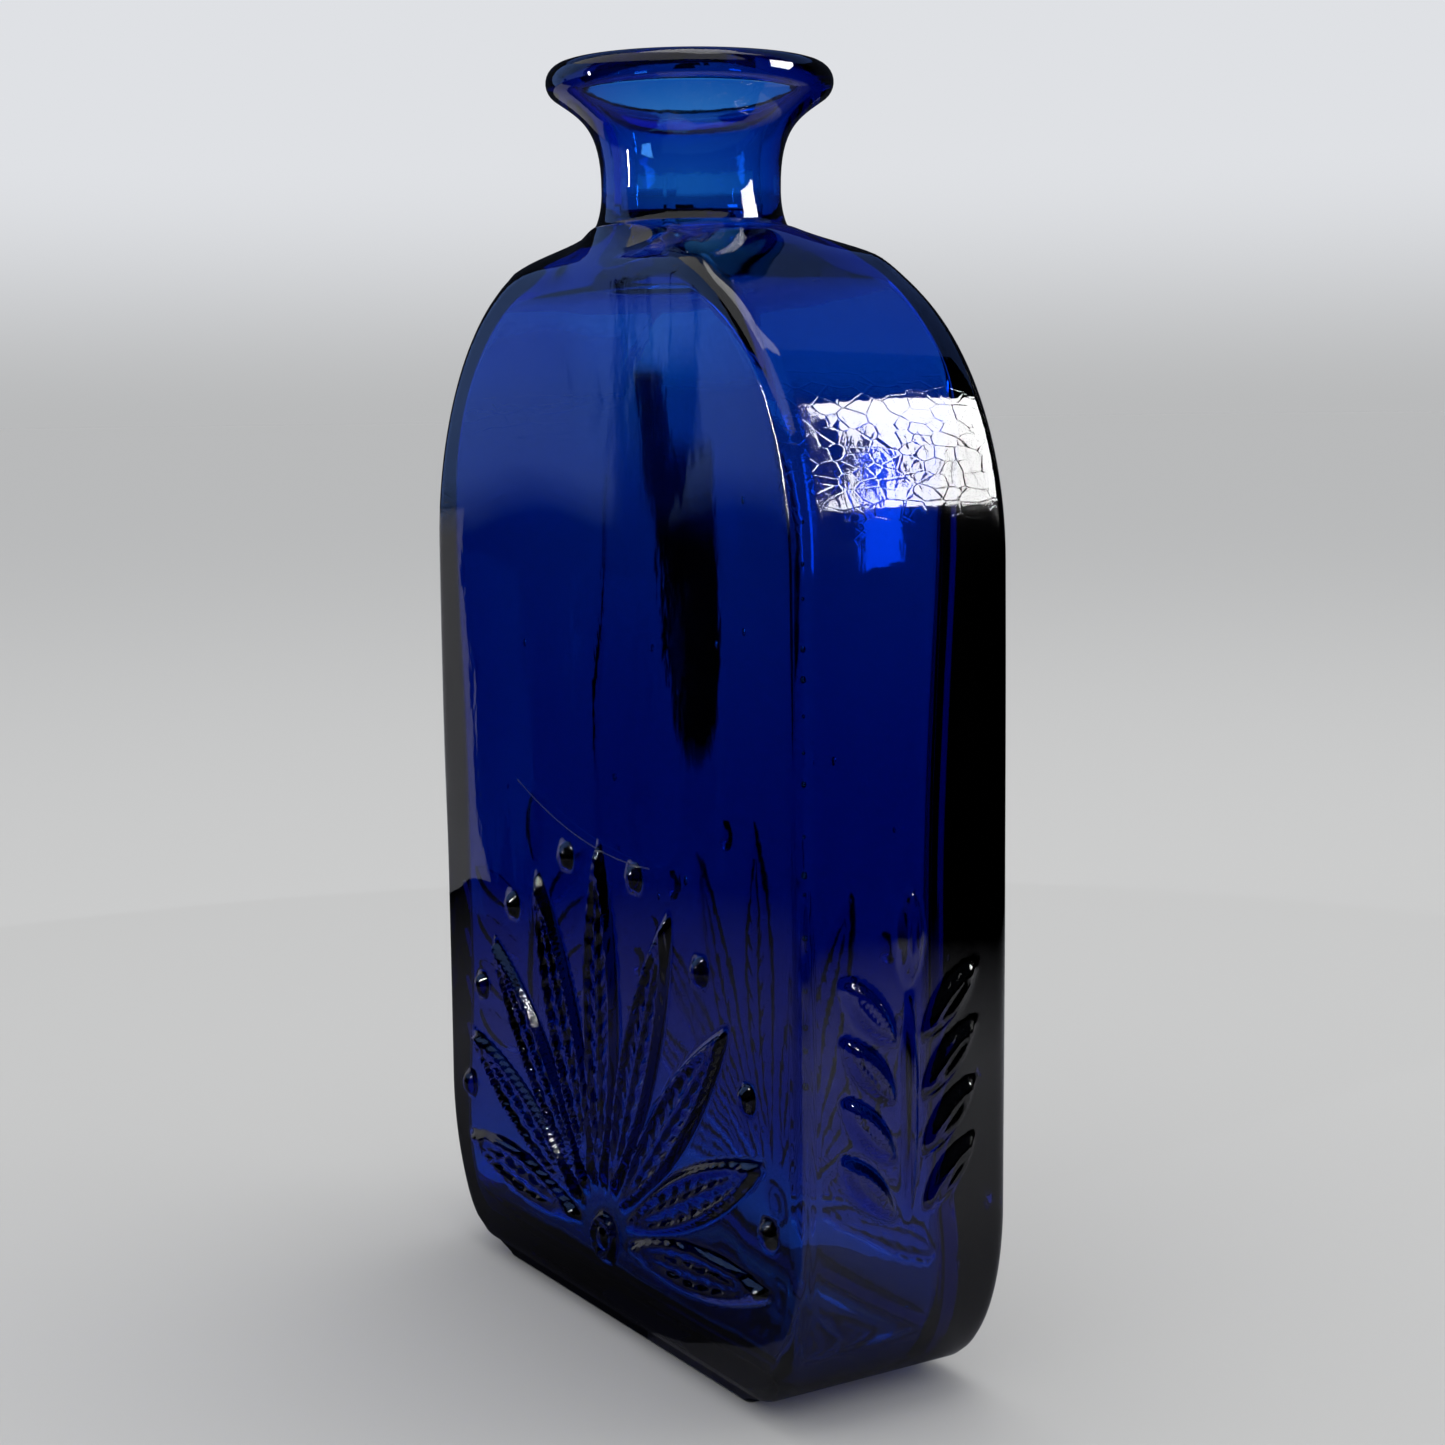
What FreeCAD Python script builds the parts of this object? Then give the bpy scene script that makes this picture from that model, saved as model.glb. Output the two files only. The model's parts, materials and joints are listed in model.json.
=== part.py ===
import FreeCAD, Part
import math
import os

# A flat glass bottle blown in a mould, with arched shoulders, a waisted neck and a flared lip.
# Millimetres, +Z up. The origin is the middle of the foot's underside, where the bottle stands.
# The broad faces look along -Y and +Y, and the narrow ones along -X and +X.

# Body
body_width = 115.5
body_depth = 37.0
side_height = 95.8
shoulder_radius = 47.2
heel_rise = 27.4
heel_run = 15.7
arris_radius = 2.6
wall = 4.0
base_thickness = 4.0

# Foot
foot_height = 2.0
foot_end_inset = 2.8
foot_face_inset = 2.3
foot_corner_radius = 1.5

# Neck and lip
bore_diameter = 22.0
bore_length = 17.0
throat_flare = 2.5
neck_waist_diameter = 28.4
neck_foot_diameter = 34.0
neck_foot_height = 8.6
neck_foot_sink = 2.0
lip_flare_height = 12.8
rim_diameter = 44.8
rim_thickness = 6.2
mouth_step_inset = 2.8
mouth_step_depth = 5.4

# Moulded relief: a fan of leaves on each broad face, a leafy sprig on each narrow one
relief_height = 1.4
leaf_bevel = 1.0
fan_root_rise = 12.9
fan_boss_diameter = 8.0
fan_leaf_start = 7.0
fan_middle_reach = 65.0
fan_side_margin = 5.0
fan_leaf_slimness = 5.5
fan_leaf_rim = 1.7
fan_leaf_panel = 0.45
fan_leaf_rib = 1.2
fan_side_leaves = 4
fan_half_angle = 84.0
bead_diameter = 4.2
bead_setback = 1.5
sprig_stem_length = 36.0
sprig_stem_width = 3.0
sprig_pairs = 4
sprig_first_pair = 1.6
sprig_pair_pitch = 8.6
sprig_side_margin = 4.0
sprig_leaf_angle = 42.0
sprig_leaf_spacing = 0.9
sprig_leaf_gap = 2.2

# Levels that follow from the sizes above
half_width = body_width / 2
half_depth = body_depth / 2
heel_top = foot_height + heel_rise
shoulder_start = heel_top + side_height
crown = shoulder_start + shoulder_radius
neck_waist = crown + neck_foot_height
rim_underside = neck_waist + lip_flare_height
rim_top = rim_underside + rim_thickness
neck_top = crown + bore_length
bore_radius = bore_diameter / 2
quarter_ellipse = 0.5523
up = FreeCAD.Vector(0, 0, 1)


def at(x, z):
    """A point of the bottle's upright middle plane."""
    return FreeCAD.Vector(x, 0, z)


def arc(centre_x, centre_z, radius, first, last):
    """An arc in the upright plane between two angles in degrees, counted from +X towards +Z."""
    turns = [math.radians(angle) for angle in (first, (first + last) / 2, last)]
    points = [at(centre_x + radius * math.cos(t), centre_z + radius * math.sin(t)) for t in turns]
    return Part.Arc(*points).toShape()


def line(start, end):
    """A straight edge between two points."""
    return Part.LineSegment(start, end).toShape()


def quarter_curve(start, end, start_upright):
    """A quarter of an ellipse between two points, upright at one end and level at the other."""
    rise = quarter_ellipse * (end.z - start.z)
    run = quarter_ellipse * (end.x - start.x)
    if start_upright:
        poles = [start, at(start.x, start.z + rise), at(end.x - run, end.z), end]
    else:
        poles = [start, at(start.x + run, start.z), at(end.x, end.z - rise), end]
    curve = Part.BezierCurve()
    curve.setPoles(poles)
    return curve.toShape()


def body_outline(inset, floor):
    """The arched outline of the broad face, drawn in by the inset and closed by a level floor."""
    side = half_width - inset
    shoulder = shoulder_radius - inset
    floor_end = half_width - heel_run
    shoulder_x = half_width - shoulder_radius
    edges = [
        line(at(-floor_end, floor), at(floor_end, floor)),
        quarter_curve(at(floor_end, floor), at(side, heel_top), False),
        line(at(side, heel_top), at(side, shoulder_start)),
        arc(shoulder_x, shoulder_start, shoulder, 0, 90),
        line(at(shoulder_x, shoulder_start + shoulder), at(-shoulder_x, shoulder_start + shoulder)),
        arc(-shoulder_x, shoulder_start, shoulder, 90, 180),
        line(at(-side, shoulder_start), at(-side, heel_top)),
        quarter_curve(at(-side, heel_top), at(-floor_end, floor), True),
    ]
    return Part.Face(Part.Wire(edges))


def slab(face, low_y, high_y):
    """A face of the upright plane carried from one depth to another."""
    moved = face.translated(FreeCAD.Vector(0, low_y, 0))
    return moved.extrude(FreeCAD.Vector(0, high_y - low_y, 0))


def block(low_x, high_x, low_z, high_z):
    """A block right through the bottle's depth, to cut out one stretch of it."""
    corner = FreeCAD.Vector(low_x, -body_depth, low_z)
    return Part.makeBox(high_x - low_x, 2 * body_depth, high_z - low_z, corner)


def half_turned(shape):
    """A copy turned half round the upright axis."""
    copy = shape.copy()
    copy.rotate(FreeCAD.Vector(0, 0, 0), up, 180)
    return copy


# The front and back walls are arched plates whose outer arrises the mould rounds off.
outer_face = body_outline(0, foot_height)
front_plate = slab(outer_face, -half_depth, -half_depth + wall)
front_arris = [e for e in front_plate.Edges if e.BoundBox.YMax < -half_depth + wall / 2]
front_wall = front_plate.makeFillet(arris_radius, front_arris)
back_wall = half_turned(front_wall)

# A band runs round between the two plates: the base, the two sides and the arched shoulder.
inner_face = body_outline(wall, foot_height + base_thickness)
inner_depth = half_depth - wall
band = slab(outer_face, -inner_depth, inner_depth).cut(slab(inner_face, -body_depth, body_depth))
base = band.common(block(-body_width, body_width, 0, heel_top))
left_wall = band.common(block(-body_width, 0, heel_top, shoulder_start))
right_wall = band.common(block(0, body_width, heel_top, shoulder_start))
arch = band.common(block(-body_width, body_width, shoulder_start, rim_top))
throat_point = FreeCAD.Vector(0, 0, crown - 2 * wall)
throat = Part.makeCone(bore_radius + 2 * throat_flare, bore_radius, 2 * wall, throat_point)
shoulder = arch.cut(throat)

# The foot is a low flat pad under the base.
foot_length = body_width - 2 * (heel_run + foot_end_inset)
foot_depth = body_depth - 2 * foot_face_inset
foot_corner = FreeCAD.Vector(-foot_length / 2, -foot_depth / 2, 0)
foot_block = Part.makeBox(foot_length, foot_depth, foot_height, foot_corner)
foot_uprights = [e for e in foot_block.Edges if e.BoundBox.ZLength > foot_height / 2]
foot = foot_block.makeFillet(foot_corner_radius, foot_uprights)

# The neck and lip are one turned profile, parted level where the bore begins to widen.
foot_radius = neck_foot_diameter / 2
waist_radius = neck_waist_diameter / 2
roll_radius = rim_thickness / 2
roll_centre = rim_diameter / 2 - roll_radius
stem_low = crown - neck_foot_sink
mouth_step = at(roll_centre - mouth_step_inset, rim_top - mouth_step_depth)
stem_edges = [
    line(at(bore_radius, stem_low), at(bore_radius, neck_top)),
    line(at(bore_radius, neck_top), mouth_step),
    line(mouth_step, at(roll_centre, rim_top)),
    arc(roll_centre, rim_underside + roll_radius, roll_radius, 90, -90),
    quarter_curve(at(roll_centre, rim_underside), at(waist_radius, neck_waist), False),
    quarter_curve(at(waist_radius, neck_waist), at(foot_radius, crown), True),
    line(at(foot_radius, crown), at(foot_radius, stem_low)),
    line(at(foot_radius, stem_low), at(bore_radius, stem_low)),
]
stem = Part.Face(Part.Wire(stem_edges)).revolve(FreeCAD.Vector(0, 0, 0), up, 360)
neck_stretch = stem.common(block(-rim_diameter, rim_diameter, stem_low - wall, neck_top))
neck = neck_stretch.cut((front_wall, back_wall, shoulder, throat))
lip = stem.common(block(-rim_diameter, rim_diameter, neck_top, rim_top + wall))


def leaf_wire(length, width, middle, height):
    """A pointed oval of two arcs round its middle, standing off the face by the height."""
    tip = FreeCAD.Vector(0, -height, middle + length / 2)
    root = FreeCAD.Vector(0, -height, middle - length / 2)
    right = FreeCAD.Vector(width / 2, -height, middle)
    left = FreeCAD.Vector(-width / 2, -height, middle)
    return Part.Wire([Part.Arc(root, right, tip).toShape(), Part.Arc(tip, left, root).toShape()])


def leaf(length, width, start):
    """A raised leaf with bevelled sides, pointing up from the start height above its root."""
    middle = start + length / 2
    top_width = width - 2 * leaf_bevel
    top_length = length * top_width / width
    wires = [leaf_wire(length, width, middle, 0), leaf_wire(top_length, top_width, middle, relief_height)]
    return Part.makeLoft(wires, True, True)


def panelled_leaf(length, width, start):
    """A raised leaf with a sunk panel on each side of its midrib, inside a rim."""
    middle = start + length / 2
    panel_width = width - 2 * fan_leaf_rim
    panel_wire = leaf_wire(length * panel_width / width, panel_width, middle, fan_leaf_panel)
    panels = Part.Face(panel_wire).extrude(FreeCAD.Vector(0, -relief_height, 0))
    rib_corner = FreeCAD.Vector(-fan_leaf_rib / 2, -2 * relief_height, start)
    rib = Part.makeBox(fan_leaf_rib, 2 * relief_height, length, rib_corner)
    return leaf(length, width, start).cut(panels.cut(rib))


def dome(diameter, start):
    """A round bead of the relief's height, above its root by the start height."""
    ball_radius = (diameter * diameter / 4 + relief_height * relief_height) / (2 * relief_height)
    ball = Part.makeSphere(ball_radius, FreeCAD.Vector(0, ball_radius - relief_height, start))
    reach = 2 * ball_radius
    keep = Part.makeBox(2 * reach, reach, 2 * reach, FreeCAD.Vector(-reach, -reach, start - reach))
    return ball.common(keep)


def placed(shape, lean, shift_x, height):
    """A copy leaned about its root in the face, then shifted to its place on the face."""
    copy = shape.copy()
    copy.rotate(FreeCAD.Vector(0, 0, 0), FreeCAD.Vector(0, 1, 0), lean)
    copy.translate(FreeCAD.Vector(shift_x, 0, height))
    return copy


def on_face(shapes, distance, turn):
    """The relief set on a face at a distance from the axis, turned round to it from the front."""
    group = Part.makeCompound(shapes)
    group.translate(FreeCAD.Vector(0, -distance, 0))
    group.rotate(FreeCAD.Vector(0, 0, 0), up, turn)
    return group


# Fan of leaves: the middle leaf reaches furthest, and beads sit between the tips.
fan_root = foot_height + fan_root_rise
fan_spread = fan_half_angle / fan_side_leaves
fan_side_reach = half_width - arris_radius - fan_side_margin


def fan_reach(place):
    """How far the fan reaches from its root at a place counted in leaves from the middle one."""
    return fan_middle_reach + (fan_side_reach - fan_middle_reach) * abs(place) / fan_side_leaves


fan = [placed(dome(fan_boss_diameter, 0), 0, 0, fan_root)]
for place in range(-fan_side_leaves, fan_side_leaves + 1):
    leaf_length = fan_reach(place) - fan_leaf_start
    fan_leaf = panelled_leaf(leaf_length, leaf_length / fan_leaf_slimness, fan_leaf_start)
    fan.append(placed(fan_leaf, place * fan_spread, 0, fan_root))
for gap in range(2 * fan_side_leaves):
    between = gap - fan_side_leaves + 0.5
    bead = dome(bead_diameter, fan_reach(between) - bead_setback)
    fan.append(placed(bead, between * fan_spread, 0, fan_root))

# Sprig: a slim stem above the heel, pairs of leaves up both sides of it and one leaf at the top.
lean = math.sin(math.radians(sprig_leaf_angle))
sprig_reach = half_depth - arris_radius - sprig_side_margin
sprig_leaf_length = (sprig_reach - sprig_leaf_gap) / lean
sprig_leaf_width = sprig_pair_pitch * lean - sprig_leaf_spacing
sprig = [placed(leaf(sprig_stem_length, sprig_stem_width, 0), 0, 0, heel_top)]
sprig_leaf = leaf(sprig_leaf_length, sprig_leaf_width, 0)
for pair in range(sprig_pairs):
    pair_height = heel_top + sprig_first_pair + pair * sprig_pair_pitch
    for side in (-1, 1):
        sprig.append(placed(sprig_leaf, side * sprig_leaf_angle, side * sprig_leaf_gap, pair_height))
sprig.append(placed(sprig_leaf, 0, 0, heel_top + sprig_stem_length))

nodes = {
    "foot": foot,
    "base": base,
    "left_wall": left_wall,
    "right_wall": right_wall,
    "front_wall": front_wall,
    "back_wall": back_wall,
    "shoulder": shoulder,
    "neck": neck,
    "lip": lip,
    "front_relief": on_face(fan, half_depth, 0),
    "back_relief": on_face(fan, half_depth, 180),
    "left_relief": on_face(sprig, half_width, -90),
    "right_relief": on_face(sprig, half_width, 90),
}
os.makedirs("parts", exist_ok=True)
for name, shape in nodes.items():
    shape.exportStep("parts/" + name + ".step")
    print(name, len(shape.Solids), "solids", round(shape.Volume, 1), "mm3", "valid", shape.isValid())
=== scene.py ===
import json
import math
import bpy
import numpy as np
from mathutils import Matrix, Quaternion, Vector


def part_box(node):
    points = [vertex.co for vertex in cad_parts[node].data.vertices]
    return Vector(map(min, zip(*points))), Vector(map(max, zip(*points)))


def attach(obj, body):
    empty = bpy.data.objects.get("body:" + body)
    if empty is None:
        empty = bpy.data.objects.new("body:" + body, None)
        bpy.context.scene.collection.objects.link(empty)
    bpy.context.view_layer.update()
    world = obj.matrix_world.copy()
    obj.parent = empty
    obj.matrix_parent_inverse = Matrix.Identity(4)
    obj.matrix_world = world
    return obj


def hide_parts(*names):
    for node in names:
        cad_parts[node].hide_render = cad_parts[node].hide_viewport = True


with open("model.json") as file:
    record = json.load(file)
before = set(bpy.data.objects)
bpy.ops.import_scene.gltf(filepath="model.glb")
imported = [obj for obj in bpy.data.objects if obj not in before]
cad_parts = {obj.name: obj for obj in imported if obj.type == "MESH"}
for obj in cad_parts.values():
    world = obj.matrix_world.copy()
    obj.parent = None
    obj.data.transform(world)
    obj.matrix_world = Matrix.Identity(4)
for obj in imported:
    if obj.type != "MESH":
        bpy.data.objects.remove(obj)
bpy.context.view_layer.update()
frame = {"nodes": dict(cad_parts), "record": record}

# Foot: the low pad that the bottle stands on, pressed by the mould's bottom plate from the same
# gather of glass as the body. Its edge is softened by the heat, and its underside is pushed up a
# little, so that the bottle stands on a rim. Sizes here and below are in millimetres.

broad_steps = 176
narrow_steps = 48
arris_steps = 8


def span(node):
    """A node's lowest and highest corners in millimetres."""
    low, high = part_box(node)
    return np.array(low) * 1000, np.array(high) * 1000


def smooth(share):
    """A ramp with level ends: 3t^2 - 2t^3, with the share t held between 0 and 1."""
    held = np.clip(share, 0, 1)
    return held * held * (3 - 2 * held)


def walk():
    """Columns round the bottle from the front's left end, as five rows: the share of the flat's reach
    and of the rounding in x, the same in y, and the angle that the column takes on a circle. Each
    column stays on its flat or its arris all the way up, so that the arrises run along the mesh."""
    broad = np.linspace(-1, 1, broad_steps, endpoint=False)
    narrow = np.linspace(-1, 1, narrow_steps, endpoint=False)
    turn = np.linspace(0, math.pi / 2, arris_steps, endpoint=False)
    quarters = [
        np.stack([broad, 0 * broad, 0 * broad - 1, 0 * broad - 1]),
        np.stack([0 * turn + 1, np.sin(turn), 0 * turn - 1, -np.cos(turn)]),
        np.stack([0 * narrow + 1, 0 * narrow + 1, narrow, 0 * narrow]),
        np.stack([0 * turn + 1, np.cos(turn), 0 * turn + 1, np.sin(turn)]),
    ]
    half_walk = np.concatenate(quarters, axis=1)
    shares = np.concatenate([half_walk, -half_walk], axis=1)
    ends = np.cumsum([0, broad_steps, arris_steps, narrow_steps, arris_steps])
    angle = np.interp(np.arange(ends[-1]), ends, np.radians([-130, -50, -40, 40, 50]))
    return np.concatenate([shares, [np.concatenate([angle, angle + math.pi])]])


def rings(height, half_width, half_depth, flat_width, flat_depth, roundness=0.0):
    """Level rings as rows of sizes: a rounded rectangle's height, its half sizes, how far its two
    flats reach from the axis, and how far it has turned into an ellipse, from 0 to 1."""
    sizes = np.broadcast_arrays(height, half_width, half_depth, flat_width, flat_depth, roundness)
    return np.array(sizes, float)


def surface(ring, column):
    """Points where each ring crosses each column. On a rounded rectangle, x and y are the column's
    shares of the flat and of the rounding; on an ellipse, the half sizes times cosine and sine of
    the column's angle; the ring's roundness mixes the two."""
    height, width, depth, flat_width, flat_depth, roundness = ring[:, :, None]
    flat_x, round_x, flat_y, round_y, angle = column[:, None, :]
    x = flat_x * flat_width + round_x * (width - flat_width)
    y = flat_y * flat_depth + round_y * (depth - flat_depth)
    x = x + roundness * (width * np.cos(angle) - x)
    y = y + roundness * (depth * np.sin(angle) - y)
    return np.stack([x, y, height + 0 * x], axis=-1)


fine = walk()
coarse = fine[:, ::2]
foot_width, foot_depth, foot_height = span("foot")[1]
foot_corner = 1.5
foot_edge = 0.7
push_up = 0.7
push_up_share = 0.9
under_start = 0.15

under_share = np.linspace(under_start, 1, 7)
under_rings = rings(
    push_up * (1 - smooth(under_share / push_up_share)),
    under_share * (foot_width - foot_edge),
    under_share * (foot_depth - foot_edge),
    under_share * (foot_width - foot_corner),
    under_share * (foot_depth - foot_corner),
)
edge_turn = np.linspace(0, math.pi / 2, 5)[1:]
edge_rings = rings(
    foot_edge * (1 - np.cos(edge_turn)),
    foot_width - foot_edge * (1 - np.sin(edge_turn)),
    foot_depth - foot_edge * (1 - np.sin(edge_turn)),
    foot_width - foot_corner,
    foot_depth - foot_corner,
)
foot_shell = surface(np.concatenate([under_rings, edge_rings], axis=1), coarse)

# Body: a flat flask with straight sides, blown in a mould of two halves. The mould rounds its heels
# and its long arrises, and leaves a fine seam on two of them. As it cooled, the outside sank a
# little between the arrises, so that what it mirrors is never quite straight.

plate_low, plate_high = span("front_wall")
side_low, side_high = span("right_wall")
rim_top = span("lip")[1][2]
half_width = plate_high[0]
half_depth = -plate_low[1]
wall = plate_high[1] - plate_low[1]
heel_top = side_low[2]
shoulder_start = side_high[2]
crown = plate_high[2]
shoulder_radius = crown - shoulder_start
heel_run = 15.7
arris = 2.6
bottom_edge = 3.0
foot_margin = 0.3
heel_first_turn = 0.04
relief_top = 80.8
relief_bottom = 10.4
relief_pitch = 0.75
sag = 0.32
sag_wave = 46.0
sag_stretch = 1.4
sag_seed = 11
sag_fade_low = 12.0
sag_fade_high = 25.0
seam_height = 0.16
seam_half_width = 1.0
seam_beading = 0.25
seam_wave = 1.3


def outline_reach(height, inset, low):
    """Half width of the body's outline at a height, drawn in by an inset: a quarter ellipse up the
    heel from its low end, a straight side, and a quarter circle over the shoulder."""
    below = np.clip((heel_top - height) / (heel_top - low), 0, 1)
    above = np.clip((height - shoulder_start) / (shoulder_radius - inset), 0, 1)
    heel = (heel_run - inset) * (1 - np.sqrt(1 - below * below))
    shoulder = (shoulder_radius - inset) * (1 - np.sqrt(1 - above * above))
    return half_width - inset - heel - shoulder


def depth_reach(height, depth, rounding, low):
    """Half depth at a height, where the face's bottom edge is rounded by a quarter circle."""
    below = np.clip((low + rounding - height) / rounding, 0, 1)
    return depth - rounding * (1 - np.sqrt(1 - below * below))


def body_rings(height):
    """Rings of the outside at some heights: the outline sets the half width, and the outline drawn
    in by the arris sets where the flats end. Nothing gets narrower than the foot."""
    return rings(
        height,
        outline_reach(height, 0, foot_height),
        np.maximum(depth_reach(height, half_depth, bottom_edge, foot_height), foot_depth + foot_margin),
        outline_reach(height, arris, foot_height + arris),
        half_depth - arris,
    )


def ridge(distance, half):
    """A round-backed ridge: the squared cosine of the distance over its half width."""
    return np.cos(np.clip(distance / half, -1, 1) * math.pi / 2) ** 2


def sway(points, length, stretch, seed):
    """A slow wandering between -1 and 1: nine sine waves with random ways and phases, about as long
    as the given length across and stretched upwards, added and softly limited."""
    draw = np.random.default_rng(seed)
    ways = draw.normal(size=(9, 3))
    ways *= 2 * math.pi / length / np.linalg.norm(ways, axis=1, keepdims=True)
    ways[:, 2] /= stretch
    phases = draw.uniform(0, 2 * math.pi, 9)
    return np.tanh(np.sin(points @ ways.T + phases).sum(-1) / 2.5)


def outward(shell):
    """Unit normals of a shell: the step to the next column crossed with the step to the next ring."""
    across = np.roll(shell, -1, axis=1) - np.roll(shell, 1, axis=1)
    normal = np.cross(across, np.gradient(shell, axis=0))
    return normal / np.linalg.norm(normal, axis=-1, keepdims=True)


def cooled(shell):
    """A shell moved along its normals: in by the sag, less near the foot and the lip, and out by the
    mould's seam on the middle column of the front right arris and of the one across from it."""
    height = shell[..., 2]
    hold = smooth((height - foot_height) / sag_fade_low) * smooth((rim_top - height) / sag_fade_high)
    sunk = sag * hold * (0.5 + 0.5 * sway(shell, sag_wave, sag_stretch, sag_seed))
    half_count = shell.shape[1] // 2
    seam_column = half_count * (broad_steps + arris_steps / 2) / (len(fine[0]) / 2)
    away = (np.arange(shell.shape[1]) - seam_column + half_count / 2) % half_count - half_count / 2
    step = arris * math.pi / 2 / arris_steps * len(fine[0]) / shell.shape[1]
    beading = 1 - seam_beading + seam_beading * np.sin(height / seam_wave)
    raised = seam_height * hold * beading * ridge(away * step, seam_half_width)
    return shell + (raised - sunk)[..., None] * outward(shell)


heel_end = math.acos((heel_top - relief_bottom) / (heel_top - foot_height))
heel_turn = np.linspace(heel_first_turn, heel_end, 16)
heel_rings = body_rings(heel_top - (heel_top - foot_height) * np.cos(heel_turn))
relief_steps = round((relief_top - relief_bottom) / relief_pitch)
relief_heights = np.linspace(relief_bottom, relief_top, relief_steps + 1)[1:-1]
side_rings = body_rings(np.linspace(relief_top, shoulder_start, 16))
lower = cooled(np.concatenate([foot_shell, surface(heel_rings, coarse)]))
band = cooled(surface(body_rings(relief_heights), fine))

# Relief: moulded ornament that the mould's cut faces pressed into the hot glass. Each broad face has
# a fan of leaves with beads between their tips, and each narrow side a leafy sprig.

fan_low, fan_high = span("front_relief")
sprig_low, sprig_high = span("right_relief")
relief_height = sprig_high[0] - half_width
boss_radius = 4.0
fan_root = fan_low[2] + boss_radius
fan_reach_middle = fan_high[2] - fan_root
fan_reach_side = 50.15
fan_side_leaves = 4
fan_spread = math.radians(21.0)
leaf_start = 7.0
leaf_slimness = 5.5
leaf_rim = 2.2
leaf_panel = 0.32
vein_pitch = 4.2
vein_slant = 1.3
vein_start = 1.2
rib_height = 0.85
rib_half_width = 1.1
rib_start = 0.4
rib_slope = 1.6
boss_core = 0.6
boss_ring = 0.78
boss_ring_half_width = 0.9
bead_radius = 2.1
bead_setback = 1.5
sprig_root = sprig_low[2]
stem_length = 36.0
stem_width = 3.0
sprig_pairs = 4
sprig_first_pair = 1.6
sprig_pitch = 8.6
sprig_gap = 2.2
sprig_lean = math.radians(42.0)
sprig_leaf_length = sprig_high[2] - sprig_root - stem_length
sprig_leaf_width = sprig_leaf_length / 3
stem_slope = 1.2
sprig_leaf_slope = 1.4
groove_depth = 0.45
groove_half_width = 0.9
groove_start = 0.6
groove_slope = 1.2


def leaf_inset(along, across, length, width):
    """How far a point lies inside a pointed oval of two arcs, and less than 0 outside it."""
    bow = (length * length + width * width) / (4 * width)
    from_middle = along - length / 2
    half = np.sqrt(np.maximum(bow * bow - from_middle * from_middle, 0)) - (bow - width / 2)
    return np.where(np.abs(from_middle) < length / 2, half - np.abs(across), -1.0)


def dome(distance, radius):
    """A round bead: a flattened half ball."""
    return np.sqrt(np.clip(1 - (distance / radius) ** 2, 0, 1))


def fan_leaf(along, across, length, width):
    """A leaf with a raised rim, a low panel inside it, a midrib and slanting veins."""
    inset = leaf_inset(along, across, length, width)
    rim = ridge(inset - leaf_rim / 2, leaf_rim / 2)
    rib = rib_height * ridge(across, rib_half_width) * smooth((inset - rib_start) / rib_slope)
    vein_turn = 2 * math.pi * (along - vein_slant * np.abs(across)) / vein_pitch
    veins = leaf_panel / 2 * np.cos(vein_turn) * smooth((inset - vein_start) / vein_start)
    return np.maximum(rim, np.maximum(leaf_panel * smooth(inset / leaf_rim) + veins, rib))


def fan(x, z):
    """Height of the fan over a broad face, from 0 to 1: the highest of its leaves, beads and boss."""
    reach_fall = (fan_reach_middle - fan_reach_side) / fan_side_leaves
    place = np.arange(-fan_side_leaves, fan_side_leaves + 1)[:, None, None]
    turn = place * fan_spread
    along = x * np.sin(turn) + (z - fan_root) * np.cos(turn) - leaf_start
    across = x * np.cos(turn) - (z - fan_root) * np.sin(turn)
    length = fan_reach_middle - reach_fall * np.abs(place) - leaf_start
    leaves = fan_leaf(along, across, length, length / leaf_slimness).max(0)
    between = np.arange(0.5 - fan_side_leaves, fan_side_leaves)[:, None, None]
    reach = fan_reach_middle - reach_fall * np.abs(between) - bead_setback
    bead_x = reach * np.sin(between * fan_spread)
    bead_z = fan_root + reach * np.cos(between * fan_spread)
    beads = dome(np.hypot(x - bead_x, z - bead_z), bead_radius).max(0)
    root = np.hypot(x, z - fan_root)
    ring = ridge(root - boss_ring * boss_radius, boss_ring_half_width)
    boss = np.maximum(dome(root, boss_core * boss_radius), ring)
    return np.maximum(np.maximum(leaves, beads), boss)


def sprig(y, z):
    """Height of the sprig over a narrow side, from 0 to 1: a stem, pairs of leaves and a top leaf,
    each leaf with a groove along its middle."""
    up = z - sprig_root
    stem = smooth(leaf_inset(up, y, stem_length, stem_width) / stem_slope)
    pair = np.arange(sprig_pairs)[:, None, None]
    away = np.abs(y) - sprig_gap
    rise = up - sprig_first_pair - pair * sprig_pitch
    along = away * math.sin(sprig_lean) + rise * math.cos(sprig_lean)
    across = away * math.cos(sprig_lean) - rise * math.sin(sprig_lean)
    along = np.concatenate([along, (up - stem_length)[None]])
    across = np.concatenate([across, y[None]])
    inset = leaf_inset(along, across, sprig_leaf_length, sprig_leaf_width)
    groove = groove_depth * ridge(across, groove_half_width) * smooth((inset - groove_start) / groove_slope)
    leaves = smooth(inset / sprig_leaf_slope) - groove
    return np.maximum(stem, leaves.max(0))


half_turn = broad_steps + narrow_steps + 2 * arris_steps
front = slice(0, broad_steps)
right = slice(broad_steps + arris_steps, broad_steps + arris_steps + narrow_steps)
back = slice(half_turn, half_turn + broad_steps)
left = slice(half_turn + right.start, half_turn + right.stop)
band_x, band_y, band_z = np.moveaxis(band.copy(), -1, 0)
for face, way in ((front, -1), (back, 1)):
    band[:, face, 1] += way * relief_height * fan(band_x[:, face], band_z[:, face])
for face, way in ((right, 1), (left, -1)):
    band[:, face, 0] += way * relief_height * sprig(band_y[:, face], band_z[:, face])

# Shoulder: the arched vault that closes the body, and the soft throat where the round neck was drawn
# out of the flat flask. Its rings turn from rounded rectangles into circles on the way up.

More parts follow.
